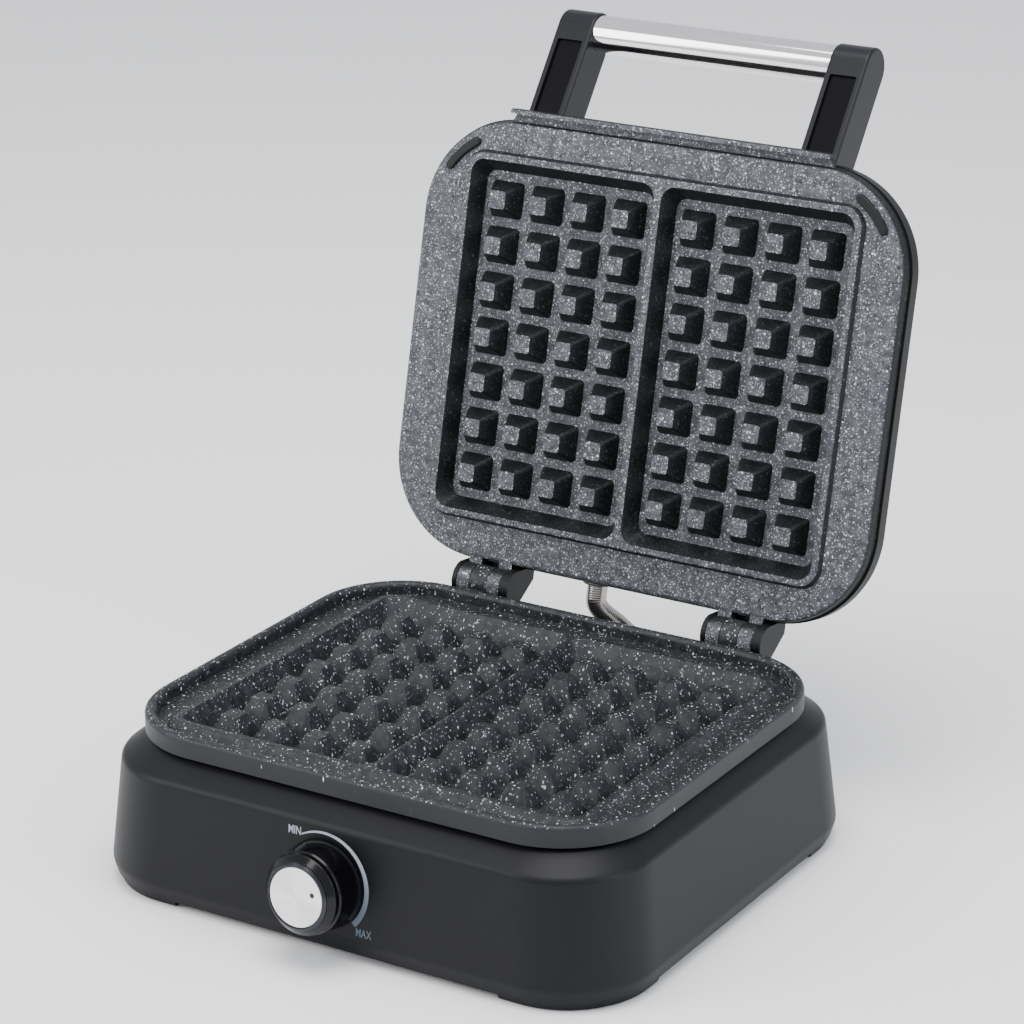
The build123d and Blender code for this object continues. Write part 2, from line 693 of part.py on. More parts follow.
with BuildPart() as knob_disc:
    with BuildSketch(dial_plane.offset(knob_seat)):
        Circle(13.25)
    extrude(amount=knob_face - knob_seat)
    disc_edge = knob_disc.edges().filter_by(GeomType.CIRCLE).sort_by(dial_axis)[-1:]
    chamfer(disc_edge, length=0.3)
    with BuildSketch(dial_plane.offset(knob_face)):
        with Locations(pointer_spot):
            Circle(1.15)
    extrude(amount=-0.8, mode=Mode.SUBTRACT)
knob_disc.part.label = "knob_disc"
export_step(knob_disc.part, "parts/knob_disc.step")

with BuildPart() as knob_pointer:
    with BuildSketch(dial_plane.offset(knob_face - 0.8)):
        with Locations(pointer_spot):
            Circle(1.12)
    extrude(amount=0.6)
knob_pointer.part.label = "knob_pointer"
export_step(knob_pointer.part, "parts/knob_pointer.step")

with BuildPart() as thermostat_shaft:
    with BuildSketch(dial_plane.offset(-18.0)):
        Circle(shaft_radius)
    extrude(amount=32.0)
    with BuildSketch(dial_plane.offset(-18.0)):
        Circle(6.0)
    extrude(amount=-2.5)
thermostat_shaft.part.label = "thermostat_shaft"
export_step(thermostat_shaft.part, "parts/thermostat_shaft.step")

# ---------------------------------------------------------------- dial drive inside the base
with BuildPart() as thermostat_bracket:
    with BuildSketch(dial_plane.offset(-8.1)):
        RectangleRounded(42, 16, 3)
        with Locations((-16.5, 0), (16.5, 0)):
            Circle(1.9, mode=Mode.SUBTRACT)
        Circle(4.6, mode=Mode.SUBTRACT)
    extrude(amount=1.2)
thermostat_bracket.part.label = "thermostat_bracket"
export_step(thermostat_bracket.part, "parts/thermostat_bracket.step")

bracket_screw = pan_screw(1.25, 4.8, 3.0, 1.8)
with BuildPart() as bracket_screws:
    with Locations(*[dial_plane.offset(-8.1) * Pos(x, y, 0) for x, y in bracket_screw_spots]):
        add(bracket_screw)
bracket_screws.part.label = "bracket_screws"
export_step(bracket_screws.part, "parts/bracket_screws.step")

with BuildPart() as thermostat_body:
    with BuildSketch(dial_plane.offset(-24.0)):
        RectangleRounded(24, 18, 1.5)
    extrude(amount=15.9)
    with BuildSketch(dial_plane.offset(-8.1)):
        Circle(4.5)
    extrude(amount=4.6)
    with BuildSketch(dial_plane.offset(-21.0)):
        Circle(6.4)
    extrude(amount=3.3, mode=Mode.SUBTRACT)
    with BuildSketch(dial_plane.offset(-18.0)):
        Circle(shaft_radius + running_gap)
    extrude(amount=20, mode=Mode.SUBTRACT)
    with BuildSketch(dial_plane.offset(-24.0)):
        with Locations((-7, 5), (0, 5), (7, 5)):
            Rectangle(4.8, 0.8)
    extrude(amount=-6.0)
thermostat_body.part.label = "thermostat_body"
export_step(thermostat_body.part, "parts/thermostat_body.step")

with BuildPart() as thermostat_nut:
    with BuildSketch(dial_plane.offset(-6.9)):
        RegularPolygon(7.4, 6)
        Circle(4.5, mode=Mode.SUBTRACT)
    extrude(amount=2.4)
thermostat_nut.part.label = "thermostat_nut"
export_step(thermostat_nut.part, "parts/thermostat_nut.step")

# ---------------------------------------------------------------- heating under the lower plate
element_radius = 3.2
element_z = lower_back_z - element_radius
shield_z = lower_back_z - 9.0
clamp_spots = ((-78, 6), (78, 6), (-36, -66), (36, -66))

with BuildPart() as lower_heating_element:
    with BuildLine(base_at(element_z)) as lower_loop:
        FilletPolyline((-14, 78), (-78, 78), (-78, -66), (78, -66), (78, 78), (14, 78), radius=20)
    with BuildSketch(Plane(origin=lower_loop.line @ 0, z_dir=lower_loop.line % 0)):
        Circle(element_radius)
    sweep()
    with BuildSketch(Plane(origin=(-14, 78, element_z), z_dir=(1, 0, 0))):
        Circle(1.4)
    extrude(amount=7)
    with BuildSketch(Plane(origin=(14, 78, element_z), z_dir=(-1, 0, 0))):
        Circle(1.4)
    extrude(amount=7)
lower_heating_element.part.label = "lower_heating_element"
export_step(lower_heating_element.part, "parts/lower_heating_element.step")

with BuildPart() as lower_element_clamps:
    for x, y in clamp_spots:
        along_y = abs(x) > 60
        with BuildSketch(base_at(element_z - 4.4)):
            with Locations((x, y)):
                Rectangle(13 if along_y else 10, 10 if along_y else 13)
        extrude(amount=7.6)
        start = (x, y - 20, element_z) if along_y else (x - 20, y, element_z)
        with BuildSketch(Plane(origin=start, z_dir=(0, 1, 0) if along_y else (1, 0, 0))):
            Circle(element_radius + 0.05)
        extrude(amount=40, mode=Mode.SUBTRACT)
lower_element_clamps.part.label = "lower_element_clamps"
export_step(lower_element_clamps.part, "parts/lower_element_clamps.step")

with BuildPart() as lower_heat_shield:
    with BuildSketch(base_at(shield_z)):
        RectangleRounded(2 * 104.5, 2 * 87.5, 10)
    extrude(amount=57.0 - shield_z)
    with BuildSketch(base_at(shield_z + 1.0)):
        RectangleRounded(2 * 103.5, 2 * 86.5, 9)
    extrude(amount=20, mode=Mode.SUBTRACT)
    with BuildSketch(base_at(56.0)):
        RectangleRounded(2 * 117, 2 * 100, 30)
        RectangleRounded(2 * 103.5, 2 * 86.5, 9, mode=Mode.SUBTRACT)
        with Locations(*shield_screw_spots):
            Circle(1.8, mode=Mode.SUBTRACT)
    extrude(amount=1.0)
    with BuildSketch(base_at(shield_z)):
        with Locations(*plate_screw_spots):
            Circle(1.9)
        with Locations((0, 60)):
            SlotOverall(40, 8)
    extrude(amount=2, mode=Mode.SUBTRACT)
lower_heat_shield.part.label = "lower_heat_shield"
export_step(lower_heat_shield.part, "parts/lower_heat_shield.step")

shield_screw = pan_screw(1.5, 4.6, 3.0)
with BuildPart() as shield_screws:
    with Locations(*[(x, y, 56.0) for x, y in shield_screw_spots]):
        add(shield_screw)
shield_screws.part.label = "shield_screws"
export_step(shield_screws.part, "parts/shield_screws.step")

plate_screw = pan_screw(1.7, 8.5, 3.2)
with BuildPart() as lower_plate_screws:
    with Locations(*[(x, y, shield_z) for x, y in plate_screw_spots]):
        add(plate_screw)
lower_plate_screws.part.label = "lower_plate_screws"
export_step(lower_plate_screws.part, "parts/lower_plate_screws.step")

# ---------------------------------------------------------------- mains parts in the base
with BuildPart() as terminal_block:
    with BuildSketch(base_at(5.0)):
        with Locations((-20, 88)):
            Rectangle(38, 15)
    extrude(amount=11.0)
    with BuildSketch(base_at(16.0)):
        with Locations((-20, 88)):
            with GridLocations(12, 8, 3, 2):
                Circle(2.3)
    extrude(amount=-4.0, mode=Mode.SUBTRACT)
terminal_block.part.label = "terminal_block"
export_step(terminal_block.part, "parts/terminal_block.step")

with BuildPart() as terminal_screws:
    with BuildSketch(base_at(12.0)):
        with Locations((-20, 88)):
            with GridLocations(12, 8, 3, 2):
                Circle(2.25)
    extrude(amount=3.0)
    with BuildSketch(base_at(15.0)):
        with Locations((-20, 88)):
            with GridLocations(12, 8, 3, 2):
                Rectangle(3.6, 0.8)
    extrude(amount=-1.0, mode=Mode.SUBTRACT)
terminal_screws.part.label = "terminal_screws"
export_step(terminal_screws.part, "parts/terminal_screws.step")

fuse_z = shield_z - 2.9
with BuildPart() as thermal_fuse:
    with BuildSketch(Plane.YZ.offset(30)):
        with Locations((30, fuse_z)):
            Circle(2.4)
    extrude(amount=8, both=True)
    with BuildSketch(Plane.YZ.offset(30)):
        with Locations((30, fuse_z)):
            Circle(0.6)
    extrude(amount=16, both=True)
thermal_fuse.part.label = "thermal_fuse"
export_step(thermal_fuse.part, "parts/thermal_fuse.step")

with BuildPart() as fuse_clip:
    with BuildSketch(Plane.YZ.offset(30)):
        with Locations((30, fuse_z - 0.4)):
            Rectangle(7.4, 6.6)
        with Locations((37, shield_z - 0.4)):
            Rectangle(10, 0.8)
        with Locations((30, fuse_z)):
            Circle(2.45, mode=Mode.SUBTRACT)
    extrude(amount=4, both=True)
fuse_clip.part.label = "fuse_clip"
export_step(fuse_clip.part, "parts/fuse_clip.step")

with BuildPart() as earth_tag:
    with BuildSketch(base_at(shield_z - 0.8)):
        with Locations((-40, 70)):
            SlotOverall(18, 8)
        with Locations((-45, 70)):
            Circle(1.9, mode=Mode.SUBTRACT)
    extrude(amount=0.8)
earth_tag.part.label = "earth_tag"
export_step(earth_tag.part, "parts/earth_tag.step")

gland_plane = rear_wall(gland_x, gland_z)

with BuildPart() as cord_gland:
    with BuildSketch(gland_plane):
        Circle(8.5)
    extrude(amount=3.0)
    gland_edge = cord_gland.edges().filter_by(GeomType.CIRCLE).sort_by(Axis.Y)[-1:]
    fillet(gland_edge, radius=1.0)
    with BuildSketch(gland_plane):
        Circle(6.2)
    extrude(amount=-10.0)
    with BuildSketch(gland_plane.offset(-4.0)):
        Circle(7.6)
        Circle(6.0, mode=Mode.SUBTRACT)
    extrude(amount=-1.6)
    with BuildSketch(gland_plane):
        Circle(3.7)
    extrude(amount=12, both=True, mode=Mode.SUBTRACT)
cord_gland.part.label = "cord_gland"
export_step(cord_gland.part, "parts/cord_gland.step")

# ---------------------------------------------------------------- conduit and its ferrules
with BuildPart() as conduit_ferrule_base:
    with BuildSketch(base_outlet):
        Circle(8.2)
    extrude(amount=4.0)
    ferrule_edge = conduit_ferrule_base.edges().filter_by(GeomType.CIRCLE).sort_by(Axis.Y)[-1:]
    fillet(ferrule_edge, radius=0.8)
    with BuildSketch(base_outlet):
        Circle(5.95)
    extrude(amount=-9.0)
    with BuildSketch(base_outlet):
        Circle(5.0)
    extrude(amount=12, both=True, mode=Mode.SUBTRACT)
conduit_ferrule_base.part.label = "conduit_ferrule_base"
export_step(conduit_ferrule_base.part, "parts/conduit_ferrule_base.step")

with BuildPart() as conduit_ferrule_lid:
    with BuildSketch(lid_outlet):
        Circle(7.0)
    extrude(amount=1.6)
    ferrule_rim = conduit_ferrule_lid.edges().filter_by(GeomType.CIRCLE).sort_by(Axis(lid_origin, v_dir))[:1]
    fillet(ferrule_rim, radius=0.6)
    with BuildSketch(lid_outlet):
        Circle(5.95)
    extrude(amount=-17.5)
    with BuildSketch(lid_outlet):
        Circle(5.0)
    extrude(amount=20, both=True, mode=Mode.SUBTRACT)
conduit_ferrule_lid.part.label = "conduit_ferrule_lid"
export_step(conduit_ferrule_lid.part, "parts/conduit_ferrule_lid.step")

for end, seat in (("base", base_outlet.offset(-3.3)), ("lid", lid_outlet.offset(-13.6))):
    with BuildPart() as nut:
        with BuildSketch(seat):
            RegularPolygon(8.4, 6)
            Circle(5.98, mode=Mode.SUBTRACT)
        extrude(amount=-2.4)
    nut.part.label = f"ferrule_nut_{end}"
    export_step(nut.part, f"parts/ferrule_nut_{end}.step")

with BuildPart() as conduit:
    with BuildLine() as conduit_route:
        FilletPolyline(
            lid_outlet.origin + v_dir * 15.5,
            lid_outlet.origin - v_dir * 12.5,
            (-5.0, 137.5, 57.5),
            base_outlet.origin + base_outlet.z_dir * 18.5,
            base_outlet.origin - base_outlet.z_dir * 8.0,
            radius=15.5,
        )
    with BuildSketch(Plane(origin=conduit_route.line @ 0, z_dir=v_dir * -1)):
        Circle(conduit_radius)
        Circle(conduit_radius - 1.0, mode=Mode.SUBTRACT)
    sweep()
conduit.part.label = "conduit"
export_step(conduit.part, "parts/conduit.step")

# ---------------------------------------------------------------- heating behind the upper plate
upper_element_n = upper_back_n - element_radius
upper_shield_n = upper_back_n - 9.0
spacer_spots = [(x, v) for x in (-40, 40) for v in (-45, 45)]

with BuildPart() as upper_heating_element:
    with BuildLine(lid_at(upper_element_n)) as upper_loop:
        FilletPolyline((-14, -78), (-78, -78), (-78, 66), (78, 66), (78, -78), (14, -78), radius=20)
    with BuildSketch(Plane(origin=upper_loop.line @ 0, z_dir=upper_loop.line % 0)):
        Circle(element_radius)
    sweep()
    with BuildSketch(Plane(origin=lid_point(-14, -78, upper_element_n), z_dir=(1, 0, 0))):
        Circle(1.4)
    extrude(amount=7)
    with BuildSketch(Plane(origin=lid_point(14, -78, upper_element_n), z_dir=(-1, 0, 0))):
        Circle(1.4)
    extrude(amount=7)
upper_heating_element.part.label = "upper_heating_element"
export_step(upper_heating_element.part, "parts/upper_heating_element.step")

with BuildPart() as upper_element_clamps:
    for x, v in ((-78, -6), (78, -6), (-36, 66), (36, 66)):
        along_v = abs(x) > 60
        with BuildSketch(lid_at(upper_element_n - 4.4)):
            with Locations((x, v)):
                Rectangle(13 if along_v else 10, 10 if along_v else 13)
        extrude(amount=7.6)
        bore_start = lid_point(x, v - 20, upper_element_n) if along_v else lid_point(x - 20, v, upper_element_n)
        with BuildSketch(Plane(origin=bore_start, z_dir=v_dir if along_v else Vector(1, 0, 0))):
            Circle(element_radius + 0.05)
        extrude(amount=40, mode=Mode.SUBTRACT)
upper_element_clamps.part.label = "upper_element_clamps"
export_step(upper_element_clamps.part, "parts/upper_element_clamps.step")

with BuildPart() as shield_spacers:
    with BuildSketch(lid_at(upper_shield_n)):
        with Locations(*spacer_spots):
            Circle(3.2)
    extrude(amount=9.0)
    with BuildSketch(lid_at(upper_shield_n)):
        with Locations(*spacer_spots):
            Circle(1.3)
    extrude(amount=5.0, mode=Mode.SUBTRACT)
shield_spacers.part.label = "shield_spacers"
export_step(shield_spacers.part, "parts/shield_spacers.step")

with BuildPart() as upper_heat_shield:
    with BuildSketch(lid_at(upper_shield_n - 0.8)):
        RectangleRounded(196, 156, 12)
        with Locations(*lid_screw_spots):
            Circle(6.5, mode=Mode.SUBTRACT)
        with Locations(*spacer_spots):
            Circle(1.6, mode=Mode.SUBTRACT)
        with Locations((0, -66)):
            SlotOverall(40, 8, mode=Mode.SUBTRACT)
    extrude(amount=0.8)
upper_heat_shield.part.label = "upper_heat_shield"
export_step(upper_heat_shield.part, "parts/upper_heat_shield.step")

spacer_screw = pan_screw(1.25, 5.0, 2.8, 1.6)
with BuildPart() as upper_shield_screws:
    with Locations(*lid_spots(spacer_spots, upper_shield_n - 0.8)):
        add(spacer_screw)
upper_shield_screws.part.label = "upper_shield_screws"
export_step(upper_shield_screws.part, "parts/upper_shield_screws.step")

# ---------------------------------------------------------------- indicator lamps and lid wiring
with BuildPart() as lamp_holder:
    with BuildSketch(lid_at(upper_shield_n - 3.8)):
        with Locations((0, 48)):
            RectangleRounded(34, 11, 2)
        with Locations(*lamp_spots):
            Circle(2.25, mode=Mode.SUBTRACT)
    extrude(amount=3.0)
lamp_holder.part.label = "lamp_holder"
export_step(lamp_holder.part, "parts/lamp_holder.step")

with BuildPart() as indicator_lamps:
    with BuildSketch(lid_at(upper_shield_n - 0.9)):
        with Locations(*lamp_spots):
            Circle(2.2)
    extrude(amount=-9.0)
    lamp_tips = indicator_lamps.edges().filter_by(GeomType.CIRCLE).sort_by(Axis(lid_origin, n_dir))[:2]
    fillet(lamp_tips, radius=1.6)
indicator_lamps.part.label = "indicator_lamps"
export_step(indicator_lamps.part, "parts/indicator_lamps.step")

for spot, use in zip(lamp_spots, ("power", "ready")):
    with BuildPart() as lens:
        with BuildSketch(lid_at(shell_top_n + shell_wall)):
            with Locations(spot):
                Circle(4.4)
        extrude(amount=1.0)
        with BuildSketch(lid_at(shell_top_n + shell_wall)):
            with Locations(spot):
                Circle(3.0)
        extrude(amount=-shell_wall - 0.7)
        lens_edge = lens.edges().filter_by(GeomType.CIRCLE).sort_by(Axis(lid_origin, n_dir))[:1]
        fillet(lens_edge, radius=0.6)
    lens.part.label = f"lens_{use}"
    export_step(lens.part, f"parts/lens_{use}.step")

with BuildPart() as lid_terminal_block:
    with BuildSketch(lid_at(upper_shield_n - 0.8)):
        with Locations((-16, -40)):
            Rectangle(30, 13)
    extrude(amount=-8.0)
    with BuildSketch(lid_at(upper_shield_n - 8.8)):
        with Locations((-16, -40)):
            with GridLocations(10, 7, 3, 2):
                Circle(2.0)
    extrude(amount=3.0, mode=Mode.SUBTRACT)
lid_terminal_block.part.label = "lid_terminal_block"
export_step(lid_terminal_block.part, "parts/lid_terminal_block.step")

with BuildPart() as lid_fuse:
    with BuildSketch(Plane(origin=lid_point(30, -20, upper_shield_n - 3.4), z_dir=(1, 0, 0))):
        Circle(2.4)
    extrude(amount=16)
    with BuildSketch(Plane(origin=lid_point(24, -20, upper_shield_n - 3.4), z_dir=(1, 0, 0))):
        Circle(0.6)
    extrude(amount=28)
lid_fuse.part.label = "lid_fuse"
export_step(lid_fuse.part, "parts/lid_fuse.step")

with BuildPart() as lid_fuse_clip:
    with BuildSketch(lid_at(upper_shield_n - 0.8)):
        with Locations((38, -20)):
            Rectangle(8, 8)
    extrude(amount=-5.8)
    with BuildSketch(Plane(origin=lid_point(30, -20, upper_shield_n - 3.4), z_dir=(1, 0, 0))):
        Circle(2.45)
    extrude(amount=16, mode=Mode.SUBTRACT)
lid_fuse_clip.part.label = "lid_fuse_clip"
export_step(lid_fuse_clip.part, "parts/lid_fuse_clip.step")

wire_radius = 1.1
lid_leads = [
    [lid_point(*p) for p in ((-16, -89.5, -17.5), (-16, -82, -26), (-15, -66, -28.5), (-16, -48, -27))],
    [lid_point(*p) for p in ((-20, -32, -27), (-24, -10, -30), (-20, 30, -30), (-14, 41.6, -24.6))],
    [lid_point(*p) for p in ((-8, -32, -27), (4, -26, -28.5), (14, -21, -26.5), (23.4, -20, -25.3))],
]
base_leads = [
    [(12, 105.6, 45.1), (8, 98, 36), (-4, 90, 26), (-8, 88, 16.8)],
    [(-30, 79, 10), (-54, 66, 10), (-54, -58, 14), (-24, -78, 30), (-10.5, -84.6, 34.3)],
    [(-10, 79, 10), (4, 66, 20), (10, 44, 42), (12.4, 30, 46.8)],
]

with BuildPart() as lid_wiring:
    for lead in lid_leads:
        with BuildLine() as route:
            FilletPolyline(*lead, radius=4)
        with BuildSketch(Plane(origin=route.line @ 0, z_dir=route.line % 0)):
            Circle(wire_radius)
        sweep()
lid_wiring.part.label = "lid_wiring"
export_step(lid_wiring.part, "parts/lid_wiring.step")

with BuildPart() as base_wiring:
    for lead in base_leads:
        with BuildLine() as route:
            FilletPolyline(*lead, radius=4)
        with BuildSketch(Plane(origin=route.line @ 0, z_dir=route.line % 0)):
            Circle(wire_radius)
        sweep()
base_wiring.part.label = "base_wiring"
export_step(base_wiring.part, "parts/base_wiring.step")
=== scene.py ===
import json
from math import atan2, cos, pi, radians, sin

import bpy
from mathutils import Matrix, Vector


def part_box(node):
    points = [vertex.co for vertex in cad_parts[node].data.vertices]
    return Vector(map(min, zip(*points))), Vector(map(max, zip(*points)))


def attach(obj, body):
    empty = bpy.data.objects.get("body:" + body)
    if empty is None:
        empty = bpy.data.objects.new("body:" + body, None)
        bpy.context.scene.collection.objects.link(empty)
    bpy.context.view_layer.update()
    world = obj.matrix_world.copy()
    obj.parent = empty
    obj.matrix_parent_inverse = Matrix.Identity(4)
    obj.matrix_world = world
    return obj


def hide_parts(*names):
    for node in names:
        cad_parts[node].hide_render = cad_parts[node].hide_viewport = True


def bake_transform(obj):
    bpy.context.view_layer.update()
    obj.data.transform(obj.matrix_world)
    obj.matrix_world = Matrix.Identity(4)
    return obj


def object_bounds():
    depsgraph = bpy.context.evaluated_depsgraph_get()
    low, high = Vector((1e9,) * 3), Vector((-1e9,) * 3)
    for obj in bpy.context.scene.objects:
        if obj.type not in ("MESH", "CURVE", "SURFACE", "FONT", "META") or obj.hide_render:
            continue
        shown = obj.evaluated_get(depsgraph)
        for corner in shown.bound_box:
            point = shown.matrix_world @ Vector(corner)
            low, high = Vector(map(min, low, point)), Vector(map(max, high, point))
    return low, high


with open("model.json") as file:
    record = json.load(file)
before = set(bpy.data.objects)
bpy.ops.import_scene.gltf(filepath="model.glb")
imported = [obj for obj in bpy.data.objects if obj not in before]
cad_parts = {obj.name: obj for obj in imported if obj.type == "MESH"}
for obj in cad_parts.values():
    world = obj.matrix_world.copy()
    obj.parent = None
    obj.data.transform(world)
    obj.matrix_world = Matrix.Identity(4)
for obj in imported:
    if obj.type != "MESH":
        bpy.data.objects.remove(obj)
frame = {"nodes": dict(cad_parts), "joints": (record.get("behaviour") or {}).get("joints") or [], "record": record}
nodes = frame["nodes"]
low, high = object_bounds()


def joint(name):
    """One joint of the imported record."""
    return next(j for j in frame["joints"] if j["name"] == name)


# Lid frame at rest: v runs away from the hinge, n out of the upper plate
hinge = Vector(joint("lid_hinge")["pos_m"])
open_angle = radians(joint("lid_hinge")["range_deg"][1])
lid_v = Vector((0, -cos(open_angle), sin(open_angle)))
lid_n = Vector((0, -sin(open_angle), -cos(open_angle)))

# Dial frame: the dial's turning axis points out of the front wall
dial = joint("dial_turn")
dial_out = Vector(dial["axis"]).normalized()
dial_up = Vector((0, dial_out.z, -dial_out.y))


# ---------------------------------------------------------------- shader helpers
def new_material(name):
    """A material and its node tree."""
    material = bpy.data.materials.new(name)
    material.use_nodes = True
    return material, material.node_tree


def principled(tree):
    """The shader of a new material's tree."""
    return tree.nodes["Principled BSDF"]


def math_node(tree, operation, first, second=None):
    """A math node on sockets or plain numbers, returning its output."""
    node = tree.nodes.new("ShaderNodeMath")
    node.operation = operation
    for slot, value in enumerate((first, second)):
        if value is None:
            continue
        if isinstance(value, (int, float)):
            node.inputs[slot].default_value = value
        else:
            tree.links.new(value, node.inputs[slot])
    return node.outputs[0]


def ramp(tree, value, low_edge, high_edge, low_value=0.0, high_value=1.0):
    """A smooth step from low_value to high_value as value goes between the edges."""
    node = tree.nodes.new("ShaderNodeMapRange")
    node.interpolation_type = "SMOOTHSTEP"
    tree.links.new(value, node.inputs["Value"])
    node.inputs["From Min"].default_value = low_edge
    node.inputs["From Max"].default_value = high_edge
    node.inputs["To Min"].default_value = low_value
    node.inputs["To Max"].default_value = high_value
    return node.outputs["Result"]


def mix_colour(tree, factor, first, second):
    """first where factor is 0, second where it is 1. Each is a colour tuple or a socket."""
    node = tree.nodes.new("ShaderNodeMix")
    node.data_type = "RGBA"
    if isinstance(factor, (int, float)):
        node.inputs["Factor"].default_value = factor
    else:
        tree.links.new(factor, node.inputs["Factor"])
    for socket, value in ((node.inputs[6], first), (node.inputs[7], second)):
        if isinstance(value, tuple):
            socket.default_value = (*value, 1.0)
        else:
            tree.links.new(value, socket)
    return node.outputs[2]


def object_space(tree):
    """Sockets of the rest position and of the rest normal, in the row frame."""
    coordinates = tree.nodes.new("ShaderNodeTexCoord")
    return coordinates.outputs["Object"], coordinates.outputs["Normal"]


def noise(tree, position, scale, detail=2.0):
    """Smooth noise with this many cells a metre."""
    node = tree.nodes.new("ShaderNodeTexNoise")
    node.inputs["Scale"].default_value = scale
    node.inputs["Detail"].default_value = detail
    tree.links.new(position, node.inputs["Vector"])
    return node.outputs["Fac"]


def flecks(tree, position, cells_per_metre, share, size, stretch=(1, 1, 1)):
    """Soft-edged specks: share of the cells hold one, and size is its radius as a part of a cell."""
    mapping = tree.nodes.new("ShaderNodeMapping")
    mapping.inputs["Scale"].default_value = stretch
    tree.links.new(position, mapping.inputs["Vector"])
    bend = tree.nodes.new("ShaderNodeTexNoise")
    bend.inputs["Scale"].default_value = cells_per_metre * 1.7
    tree.links.new(mapping.outputs[0], bend.inputs["Vector"])
    shift = tree.nodes.new("ShaderNodeVectorMath")
    shift.operation = "MULTIPLY_ADD"
    tree.links.new(bend.outputs["Color"], shift.inputs[0])
    shift.inputs[1].default_value = (0.6 / cells_per_metre,) * 3
    tree.links.new(mapping.outputs[0], shift.inputs[2])
    cells = tree.nodes.new("ShaderNodeTexVoronoi")
    cells.inputs["Scale"].default_value = cells_per_metre
    tree.links.new(shift.outputs[0], cells.inputs["Vector"])
    split = tree.nodes.new("ShaderNodeSeparateColor")
    tree.links.new(cells.outputs["Color"], split.inputs[0])
    chosen = math_node(tree, "LESS_THAN", split.outputs[0], share)
    radius = math_node(tree, "MULTIPLY_ADD", split.outputs[1], size * 0.8)
    radius.node.inputs[2].default_value = size * 0.45
    inside = math_node(tree, "DIVIDE", cells.outputs["Distance"], radius)
    body = ramp(tree, inside, 0.75, 1.1, 1.0, 0.0)
    return math_node(tree, "MULTIPLY", math_node(tree, "MULTIPLY", body, chosen), split.outputs[2])


def bump(tree, height, distance, strength=1.0):
    """Relief of that height, in metres, on the tree's own shader."""
    node = tree.nodes.new("ShaderNodeBump")
    node.inputs["Strength"].default_value = strength
    node.inputs["Distance"].default_value = distance
    tree.links.new(height, node.inputs["Height"])
    tree.links.new(node.outputs[0], principled(tree).inputs["Normal"])


def plain(name, colour, roughness, metallic=0.0, coat=0.0, specular=0.5):
    """A material with one colour and one finish all over."""
    material, tree = new_material(name)
    shader = principled(tree)
    shader.inputs["Base Color"].default_value = (*colour, 1.0)
    shader.inputs["Roughness"].default_value = roughness
    shader.inputs["Metallic"].default_value = metallic
    shader.inputs["Coat Weight"].default_value = coat
    shader.inputs["Coat Roughness"].default_value = 0.05
    shader.inputs["Specular IOR Level"].default_value = specular
    return material


# ---------------------------------------------------------------- materials
def facing_share(tree, normal, direction, low_edge, high_edge):
    """1 on faces that look along direction, 0 on those square to it."""
    dot = tree.nodes.new("ShaderNodeVectorMath")
    dot.operation = "DOT_PRODUCT"
    tree.links.new(normal, dot.inputs[0])
    dot.inputs[1].default_value = direction
    return ramp(tree, dot.outputs["Value"], low_edge, high_edge)


def upper_stone():
    """Grey stone-effect coating: dense pale specks on the open faces; the walls carry painted shade, near black
    with few specks.
    """
    material, tree = new_material("upper_stone")
    position, normal = object_space(tree)
    # Painted shade: faces turned away from the lid's normal get a near-black ground and few pale specks, so the
    # walls look shaded.
    unshaded_face_share = facing_share(tree, normal, lid_n, 0.55, 0.95)
    blotch = noise(tree, position, 260, 3)
    ground = mix_colour(tree, ramp(tree, blotch, 0.3, 0.7), (0.040, 0.043, 0.050), (0.085, 0.090, 0.101))
    ground = mix_colour(tree, unshaded_face_share, (0.0055, 0.006, 0.0075), ground)
    fine = flecks(tree, position, 1500, 0.46, 0.48)
    large = flecks(tree, position, 760, 0.22, 0.40)
    pale = math_node(tree, "MAXIMUM", math_node(tree, "MULTIPLY", fine, 0.75), large)
    amount = math_node(tree, "MULTIPLY", pale, ramp(tree, unshaded_face_share, 0.0, 1.0, 0.06, 0.80))
    colour = mix_colour(tree, amount, ground, (0.80, 0.81, 0.83))
    dark = flecks(tree, position, 700, 0.10, 0.45)
    colour = mix_colour(tree, math_node(tree, "MULTIPLY", dark, 0.9), colour, (0.01, 0.01, 0.012))
    tree.links.new(colour, principled(tree).inputs["Base Color"])
    principled(tree).inputs["Roughness"].default_value = 0.46
    principled(tree).inputs["Specular IOR Level"].default_value = 0.25
    bump(tree, math_node(tree, "ADD", pale, blotch), 0.00006)
    return material


